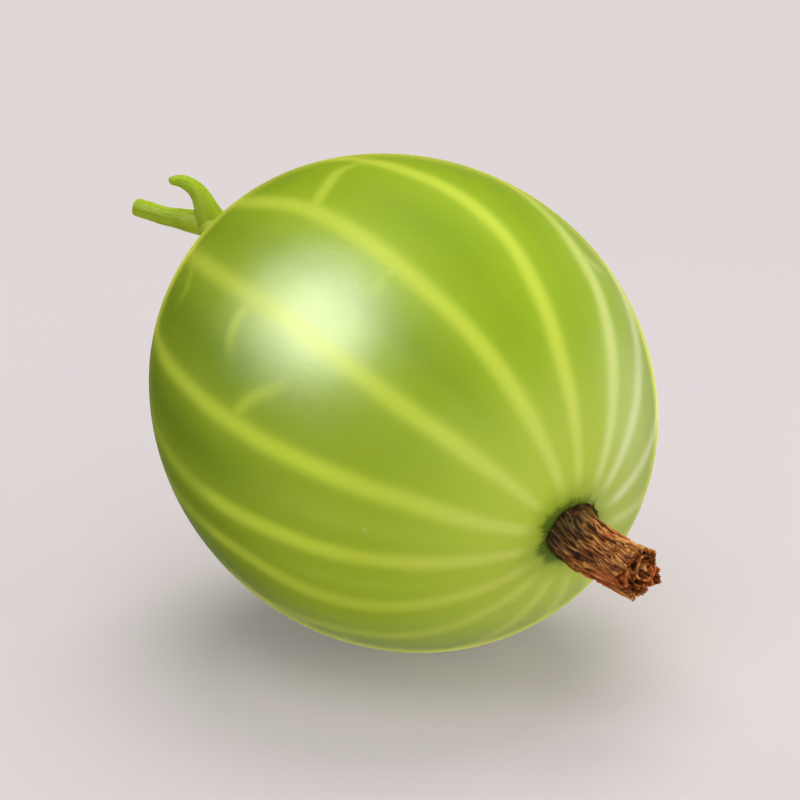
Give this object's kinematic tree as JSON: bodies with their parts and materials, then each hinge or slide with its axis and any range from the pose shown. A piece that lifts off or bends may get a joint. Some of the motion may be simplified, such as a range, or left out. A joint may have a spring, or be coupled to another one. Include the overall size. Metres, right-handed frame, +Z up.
{
  "type": "gooseberry",
  "caption": "Ripe green gooseberry as picked, with its withered flower at the nose and a short hooked green stem, resting on a small flat spot.",
  "frame": {"origin": "centre of the small flat spot that the berry rests on", "axes": "+Z up; +X towards the nose, where the withered flower is, which points 14 degrees below level; the stem is at -X"},
  "size_m": [0.0358, 0.022, 0.0219],
  "materials": {
    "berry_skin": "satin",
    "withered_flower": "matte",
    "stem_skin": "satin",
    "bract_skin": "satin"
  },
  "bodies": {
    "root": {"berry": "berry_skin", "dried_flower": "withered_flower", "stem": "stem_skin", "bract": "bract_skin"}
  },
  "joints": []
}
